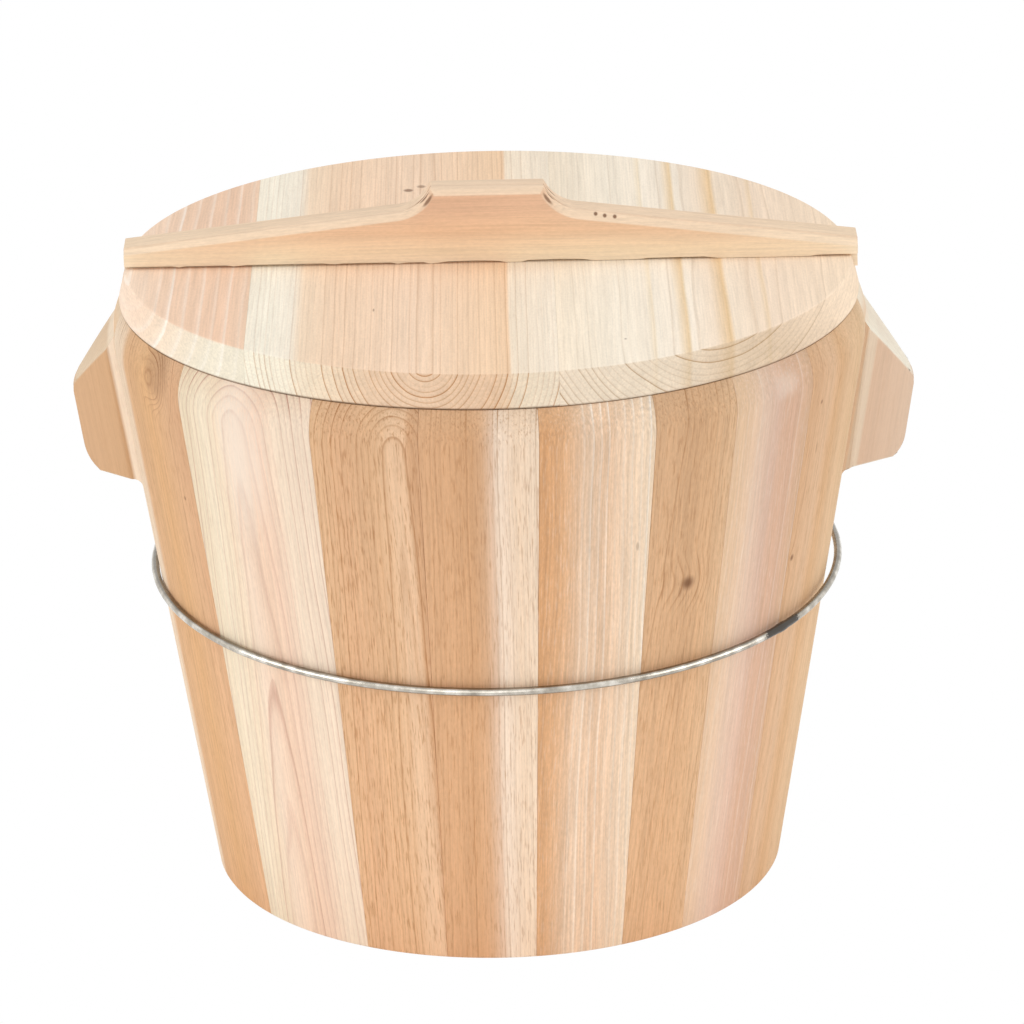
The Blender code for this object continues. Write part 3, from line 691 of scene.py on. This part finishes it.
def build_hoop():
    """The wire ring on its slanting plane, swollen and lumpy at the butt weld."""
    at_side = wall_radius(HOOP_HEIGHT)
    to_back = at_side / (math.cos(HOOP_TILT) - WALL_FLARE * math.sin(HOOP_TILT))
    to_front = at_side / (math.cos(HOOP_TILT) + WALL_FLARE * math.sin(HOOP_TILT))
    bore = (to_back + to_front) / 2 + HOOP_SLACK
    radius = bore + HOOP_WIRE_RADIUS
    bm = bmesh.new()
    bmesh.ops.create_circle(bm, segments=HOOP_SIDES, radius=HOOP_WIRE_RADIUS)
    bmesh.ops.rotate(bm, verts=bm.verts, cent=(0, 0, 0), matrix=Matrix.Rotation(math.pi / 2, 3, "Y"))
    bmesh.ops.translate(bm, verts=bm.verts, vec=(0, -radius, 0))
    bmesh.ops.spin(bm, geom=bm.verts[:] + bm.edges[:], cent=(0, 0, 0), axis=UP, angle=2 * math.pi,
                   steps=HOOP_SEGMENTS, use_merge=True)
    bmesh.ops.remove_doubles(bm, verts=bm.verts, dist=MERGE_DISTANCE)
    weld = Matrix.Rotation(WELD_AZIMUTH, 3, "Z") @ Vector((0, -radius, 0))
    for vert in bm.verts:
        centre = Vector((vert.co.x, vert.co.y, 0)).normalized() * radius
        near = (centre - weld).length
        fade = max(0, 1 - near / (WELD_LENGTH / 2))
        lumps = WELD_LUMPS * math.sin(near / WELD_LUMP_SIZE) * min(1, 3 * fade)
        vert.co = centre + (vert.co - centre) * (1 + WELD_SWELL * fade + lumps)
    along = (to_back - to_front) / 2
    rest_left = bore - at_side - HOOP_CONTACT
    place = Vector((rest_left, along * math.cos(HOOP_TILT), HOOP_HEIGHT + along * math.sin(HOOP_TILT)))
    seat = Matrix.Translation(place) @ Matrix.Rotation(HOOP_TILT, 4, "X")
    bmesh.ops.transform(bm, matrix=seat, verts=bm.verts)
    finish_piece("hoop_wire", bm, galvanised_wire(seat @ weld), "barrel", ["hoop"])


# Lid

def prism(outline, direction):
    """Closed solid swept from a flat outline of points along a direction."""
    bm = bmesh.new()
    face = bm.faces.new([bm.verts.new(point) for point in outline])
    swept = bmesh.ops.extrude_face_region(bm, geom=[face])["geom"]
    moved = [item for item in swept if isinstance(item, bmesh.types.BMVert)]
    bmesh.ops.translate(bm, verts=moved, vec=direction)
    bmesh.ops.recalc_face_normals(bm, faces=bm.faces)
    return bm


def cut_away(bm, point, normal):
    """Remove what lies beyond a plane on its normal's side, and close the cut."""
    everything = bm.verts[:] + bm.edges[:] + bm.faces[:]
    bmesh.ops.bisect_plane(bm, geom=everything, plane_co=point, plane_no=normal, clear_outer=True)
    bmesh.ops.holes_fill(bm, edges=[edge for edge in bm.edges if edge.is_boundary])


def combined(bm, other, operation):
    """A bmesh cut or joined by another with a Boolean modifier, read back as one closed bmesh."""
    objects = []
    for mesh_of in (bm, other):
        mesh = bpy.data.meshes.new("working")
        mesh_of.to_mesh(mesh)
        mesh_of.free()
        objects.append(bpy.data.objects.new("working", mesh))
        bpy.context.scene.collection.objects.link(objects[-1])
    modifier = objects[0].modifiers.new("combine", "BOOLEAN")
    modifier.operation = operation
    modifier.object = objects[1]
    shape = objects[0].evaluated_get(bpy.context.evaluated_depsgraph_get()).to_mesh()
    result = bmesh.new()
    result.from_mesh(shape)
    for item in objects:
        bpy.data.objects.remove(item, do_unlink=True)
    return result


def tail_mesh(room, left, right, above):
    """Dovetail along X under the lid's top face, with room all round and a stem above."""
    neck = TAIL_NECK / 2 + room
    spread = TAIL_WIDTH / 2 + room
    bottom = -TAIL_DEPTH - room
    outline = ((neck, above), (neck, 0), (spread, bottom), (-spread, bottom), (-neck, 0), (-neck, above))
    return prism([(-left, y, LID_TOP + z) for y, z in outline], (left + right, 0, 0))


# The grain runs to the back in the lid and to the left in the bar
LID_GRAIN = Euler((math.radians(-90), 0, 0))
BAR_GRAIN = Euler((0, math.radians(-90), 0))

# Each lid board's wood: colour zones in millimetres across the lid, and how far its pith lies right of the
# lid's middle and under its top
# grime gives how dark each board's painted shadow along the seam on the rim is
LID_WOOD = (
    dict(zones=((-150, "#F3DCC6"), (-125, "#ECCBB0"), (-104, "#EBC7AB"), (-94, "#ECCCB1")),
         late="#FCF5EC", pith=(-160, -14), ring=5.5, contrast=0.55, wander=1.4,
         end=((-150, "#E2D2B8"), (-125, "#E6DEC9"), (-94, "#E4DDC9")), end_share=0.9,
         end_rings=1.1, seam_shadow=0.5),
    dict(zones=((-95, "#F3E9D6"), (-88, "#F6EEDC"), (-77, "#F5EAD8"), (-73, "#F1D9BE"), (-60, "#F1D3B6"),
                (-30, "#F3D6BB"), (4, "#F1D0AE"), (7, "#F0CDAA"), (8, "#F3E2CB"), (26, "#F4E6D2")),
         late="#B07B4C", pith=(-25, -5), ring=2.0, contrast=0.35, wander=0.5, fleck=0.08,
         end=((-95, "#E9E3CF"), (-77, "#E8DEC8"), (-62, "#E3D2B8"), (-46, "#D8BA9C"), (2, "#D6B597"),
              (11, "#DCCAB0"), (26, "#DDCDB5")),
         end_share=0.7, end_rings=3.0, seam_shadow=0.6, marks=[
             ((-45.2 * MM, -65.8 * MM, LID_TOP), (0.5 * MM, 2.5 * MM, 1 * MM), 0.5),
             ((-32.6 * MM, 90.5 * MM, LID_TOP), (2.6 * MM, 2.8 * MM, 1 * MM), 0.7),
             ((-27.3 * MM, 95.5 * MM, LID_TOP), (2.4 * MM, 2.6 * MM, 1 * MM), 0.55)]),
    dict(zones=((26, "#F3E3CC"), (50, "#F5E9D6"), (61, "#F5E8D5"), (63.4, "#F0DFC4"), (64, "#F6EAD8"),
                (72, "#F5E7D4"), (76.4, "#E9CDA5"), (77.6, "#F6E9D7"), (87, "#F2DEC7"), (92.6, "#E5C498"),
                (94.2, "#F3E1CB"), (106, "#F1DBC3"), (108, "#ECD2B1"), (108.8, "#F1DBC4"), (150, "#F2DBC0")),
         late="#A9865F", pith=(92, -36), ring=2.1, contrast=0.26, wander=0.8,
         end=((26, "#DDCBB5"), (66, "#DAC7AE"), (92, "#CBB396"), (150, "#C8AF92")), end_share=0.7,
         end_rings=4.0, seam_shadow=0.3, marks=[
             ((52.1 * MM, -106.8 * MM, LID_TOP), (0.7 * MM, 0.9 * MM, 1 * MM), 0.6)]),
)


def build_lid():
    """Three boards running front to back, with a dovetail groove for the bar across them."""
    edges = (None, *LID_JOINTS, None)
    thickness = LID_TOP - LID_SEAT
    middle = LID_SEAT + thickness / 2
    beyond = LID_RADIUS + thickness
    for index, look in enumerate(LID_WOOD):
        bm = bmesh.new()
        bmesh.ops.create_cone(bm, cap_ends=True, segments=LID_SEGMENTS, radius1=LID_RADIUS,
                              radius2=LID_RADIUS - LID_EDGE_SLANT, depth=thickness)
        bmesh.ops.translate(bm, verts=bm.verts, vec=(0, 0, middle))
        rims = [edge for edge in bm.edges if len({vert.co.z > middle for vert in edge.verts}) == 1]
        bmesh.ops.bevel(bm, geom=rims, offset=LID_EDGE_ROUND, segments=3, profile=0.5, material=-1,
                        affect="EDGES")
        left, right = edges[index], edges[index + 1]
        if left is not None:
            cut_away(bm, (left + SEAM / 2, 0, 0), (-1, 0, 0))
        if right is not None:
            cut_away(bm, (right - SEAM / 2, 0, 0), (1, 0, 0))
        bmesh.ops.recalc_face_normals(bm, faces=bm.faces)
        bm = combined(bm, tail_mesh(TAIL_ROOM, beyond, beyond, TAIL_DEPTH), "DIFFERENCE")
        name = f"lid_board_{index + 1}"
        material = fir(f"fir_{name}", (0, 0, LID_TOP), LID_GRAIN, **look)
        finish_piece(f"{name}_wood", bm, material, "lid", [name])


# Where the bar's foot stands off the lid: places along the bar and the gap there, in millimetres
FOOT_GAPS = ((-150, 1.05), (-125, 1.05), (-123, 0.2), (-121, 0.98), (-103, 0.98), (-101, 0.15), (-98, 0.98),
             (-65, 1.05), (-62, 0.3), (-59, 0.84), (-38, 0.84), (-36, 0.2), (-33, 0.7), (-25, 0.7),
             (-24, 0.1), (-21, 0.1), (-17, 0.84), (-4, 1.05), (4, 0.7), (7, 0.1), (13, 0.1), (16, 0.84),
             (28, 1.05), (38, 0.84), (41, 0.15), (60, 0.2), (64, 0.7), (88, 0.84), (90, 0.1), (128, 0.1),
             (132, 0.7), (150, 0.7))

# The bar's wood from its foot up, small pits on its right arm and dark streaks on the coves round its grip,
# in millimetres
BAR_ZONES = ((0, "#EEDBC0"), (5, "#EAD3B4"), (13, "#E4BF9D"), (24, "#DDB698"), (30, "#DDB597"))
BAR_PITS = ((43.1, -6.5, 274.8), (46.7, -6.8, 274.1), (50.7, -6.8, 273.6))
BAR_PIT_HALVES = (1.1 * MM, 1.4 * MM, 1.2 * MM)
BAR_COVE_STREAKS = ((-23.4, -8.1, 281.7), (-24.9, -6.4, 282.5), (-26.4, -4.2, 280.9),
                (23.6, -7.8, 281.2), (24.7, -6.0, 282.1), (25.1, 0.3, 282.3))
BAR_COVE_STREAK_HALVES = (3.2 * MM, 0.8 * MM, 5.0 * MM)


def foot_gap(along):
    """The gap under the bar at a place along it, read from the table."""
    for (start, low), (stop, high) in zip(FOOT_GAPS, FOOT_GAPS[1:]):
        if start * MM <= along < stop * MM:
            return (low + (high - low) * (along / MM - start) / (stop - start)) * MM
    return FOOT_GAPS[-1][1] * MM


def bar_profile(half_length, end_height):
    """Reach, height and slope along one half of the bar's top, from the grip's middle out to the end."""
    centre_reach = GRIP_LENGTH / 2 + COVE_RADIUS * math.sin(COVE_STEEPNESS)
    centre_height = GRIP_HEIGHT + COVE_RADIUS * math.cos(COVE_STEEPNESS)
    to_centre = Vector((half_length - centre_reach, centre_height - end_height))
    arm_slope = math.atan2(to_centre.y, to_centre.x) - math.asin(COVE_RADIUS / to_centre.length)
    points = [(reach, GRIP_HEIGHT, 0) for reach in GRIP_STATIONS]
    for step in range(COVE_STEPS + 1):
        slope = COVE_STEEPNESS + (arm_slope - COVE_STEEPNESS) * step / COVE_STEPS
        reach = centre_reach - COVE_RADIUS * math.sin(slope)
        points.append((reach, centre_height - COVE_RADIUS * math.cos(slope), slope))
    start, height = points[-1][:2]
    for step in range(1, ARM_STEPS):
        share = step / ARM_STEPS
        points.append((start + (half_length - start) * share, height + (end_height - height) * share,
                       arm_slope))
    points.append((half_length, end_height, 0))
    return points


def bar_sections(side, half_length, end_height, arm_chamfer):
    """Sections across one half of the bar. The front chamfer is cut square to the slope of the top."""
    half = BAR_THICKNESS / 2
    sections = []
    for reach, height, slope in bar_profile(half_length, end_height):
        run = min(1, max(0, reach - GRIP_LENGTH / 2) / CHAMFER_RUN)
        front = GRIP_CHAMFER + (arm_chamfer - GRIP_CHAMFER) * run
        back = GRIP_BACK_CHAMFER + (arm_chamfer - GRIP_BACK_CHAMFER) * run
        inward, down = front * math.sin(slope), front * math.cos(slope)
        if slope == COVE_STEEPNESS:
            inward, down = front * math.tan(slope / 2), front
        gap = foot_gap(side * reach)
        section = [(reach, -half, gap), (reach - inward, -half, BAR_LIFT + height - down),
                   (reach, front - half, BAR_LIFT + height), (reach, half - back, BAR_LIFT + height),
                   (reach, half, BAR_LIFT + height - back), (reach, half, gap)]
        sections.append([(side * x, y, LID_TOP + z) for x, y, z in section])
    return sections


def build_bar():
    """The cross bar: a chamfered grip and two arms, the left one a little deeper, and its dovetail below."""
    left = bar_sections(-1, BAR_LEFT_REACH, LEFT_END_HEIGHT, LEFT_CHAMFER)
    right = bar_sections(1, BAR_RIGHT_REACH, RIGHT_END_HEIGHT, RIGHT_CHAMFER)
    bm = bmesh.new()
    loops = []
    for section in left[::-1] + right:
        spots = [bm.verts.new(spot) for spot in section]
        loops.append([bm.edges.new((spots[index - 1], spots[index])) for index in range(len(spots))])
    for near, far in zip(loops, loops[1:]):
        bmesh.ops.bridge_loops(bm, edges=near + far)
    bmesh.ops.holes_fill(bm, edges=loops[0] + loops[-1])
    bmesh.ops.recalc_face_normals(bm, faces=bm.faces)
    sharp = [edge for edge in bm.edges if edge.calc_face_angle(0) > BAR_CRISP]
    bmesh.ops.bevel(bm, geom=sharp, offset=BAR_ARRIS, segments=2, profile=0.5, material=-1, affect="EDGES")

    bm = combined(bm, tail_mesh(0, BAR_LEFT_REACH, BAR_RIGHT_REACH, RIGHT_END_HEIGHT / 2), "UNION")
    marks = [(Vector(spot) * MM, BAR_PIT_HALVES, 0.85) for spot in BAR_PITS]
    marks += [(Vector(spot) * MM, BAR_COVE_STREAK_HALVES, 0.75) for spot in BAR_COVE_STREAKS]
    face = (0, -BAR_THICKNESS / 2, LID_TOP)
    # crown paints a highlight on the bar's upward faces
    material = fir("fir_lid_bar", face, BAR_GRAIN, BAR_ZONES, "#A56B3F", pith=(8, 75), ring=5.2, contrast=0.2,
                   end=plain("#DDB592"), end_share=0.25, end_rings=5.0, top_light=("#EAD3B8", 0.8), marks=marks)
    finish_piece("lid_bar_wood", bm, material, "lid", ["lid_bar"])


# Grid and hidden pins

# Colour zones across a slat or batten, in millimetres
GRID_ZONES = ((-14, "#F1DBBF"), (0, "#EED3B4"), (14, "#F3DFC4"))


def build_grid():
    """Slats and battens keep their CAD shapes, with eased edges, in plain pale fir."""
    for name in frame["record"]["behaviour"]["bodies"]["grid"]:
        node = frame["nodes"][name]
        bm = bmesh.new()
        bm.from_mesh(node.data)
        bmesh.ops.remove_doubles(bm, verts=bm.verts, dist=MERGE_DISTANCE)
        bmesh.ops.dissolve_limit(bm, angle_limit=GRID_FLAT, verts=bm.verts, edges=bm.edges)
        sharp = [edge for edge in bm.edges if edge.calc_face_angle(0) > GRID_CRISP]
        bmesh.ops.bevel(bm, geom=sharp, offset=GRID_ROUND, segments=2, profile=0.5, material=-1,
                        affect="EDGES")
        low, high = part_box(name)
        middle = ((low[0] + high[0]) / 2, (low[1] + high[1]) / 2, high[2])
        turn = LID_GRAIN if name.startswith("grid_slat") else BAR_GRAIN
        material = fir(f"fir_{name}", middle, turn, GRID_ZONES, "#CDA67C", pith=(20, 35))
        finish_piece(f"{name}_wood", bm, material, "grid", [name])


def dress_pins():
    """The pins stay as they are, inside the joints, in split bamboo."""
    straw = bamboo()
    for name, node in frame["nodes"].items():
        if "_pin_" in name:
            node.data.materials.clear()
            node.data.materials.append(straw)


# Stage

def seen_directly(holder):
    """One for rays from the camera, in reflections and through glass, and nothing for the light itself."""
    path = add(holder, "ShaderNodeLightPath").outputs
    seen = path["Is Camera Ray"]
    for ray in ("Is Glossy Ray", "Is Transmission Ray"):
        seen = add(holder, "ShaderNodeMath", {0: seen, 1: path[ray]}, operation="MAXIMUM").outputs[0]
    return seen


def build_stage():
    """White floor, soft light from all round and a camera where the photograph's stood."""
    floor_material = new_material("white_paper")
    seen = seen_directly(floor_material)
    matt = add(floor_material, "ShaderNodeBsdfDiffuse", {"Color": linear("#FAFAFA")}).outputs[0]
    glow = add(floor_material, "ShaderNodeEmission", {"Color": (1, 1, 1, 1), "Strength": 1.0}).outputs[0]
    both = add(floor_material, "ShaderNodeMixShader", {0: seen, 1: matt, 2: glow}).outputs[0]
    add(floor_material, "ShaderNodeOutputMaterial", {"Surface": both})
    bm = bmesh.new()
    bmesh.ops.create_grid(bm, x_segments=1, y_segments=1, size=FLOOR_REACH)
    mesh = bpy.data.meshes.new("floor")
    bm.to_mesh(mesh)
    bm.free()
    mesh.materials.append(floor_material)
    floor = bpy.data.objects.new("floor", mesh)
    bpy.context.scene.collection.objects.link(floor)

    world = bpy.data.worlds.new("studio")
    world.use_nodes = True
    background = world.node_tree.nodes["Background"]
    background.inputs["Color"].default_value = (1, 1, 1, 1)
    level = add(world, "ShaderNodeMapRange", {"Value": seen_directly(world), "To Min": AMBIENT_LIGHT,
                "To Max": 1.0})
    world.node_tree.links.new(level.outputs[0], background.inputs["Strength"])
    bpy.context.scene.world = world

    for name, (place, aim, size, watts) in LAMPS.items():
        light = bpy.data.lights.new(name, "AREA")
        light.size = size
        light.energy = watts
        lamp = bpy.data.objects.new(name, light)
        lamp.location = place
        lamp.rotation_euler = (Vector(aim) - Vector(place)).to_track_quat("-Z", "Y").to_euler()
        bpy.context.scene.collection.objects.link(lamp)

    camera = bpy.data.objects.new("camera", bpy.data.cameras.new("camera"))
    camera.data.lens = SENSOR_WIDTH * FOCAL_PIXELS / FRAME_PIXELS
    camera.data.sensor_width = SENSOR_WIDTH
    camera.data.clip_end = VIEW_LIMIT
    back_off = Vector((0, -math.cos(CAMERA_ELEVATION), math.sin(CAMERA_ELEVATION)))
    camera.location = UP * LID_TOP + back_off * CAMERA_DISTANCE
    facing = (CAMERA_AIM - camera.location).to_track_quat("-Z", "Y")
    camera.rotation_euler = (facing @ Quaternion((0, 0, 1), CAMERA_ROLL)).to_euler()
    bpy.context.scene.collection.objects.link(camera)
    bpy.context.scene.camera = camera
    bpy.context.scene.view_settings.view_transform = "Standard"


build_staves()
build_hoop()
build_lid()
build_bar()
build_grid()
dress_pins()
build_stage()
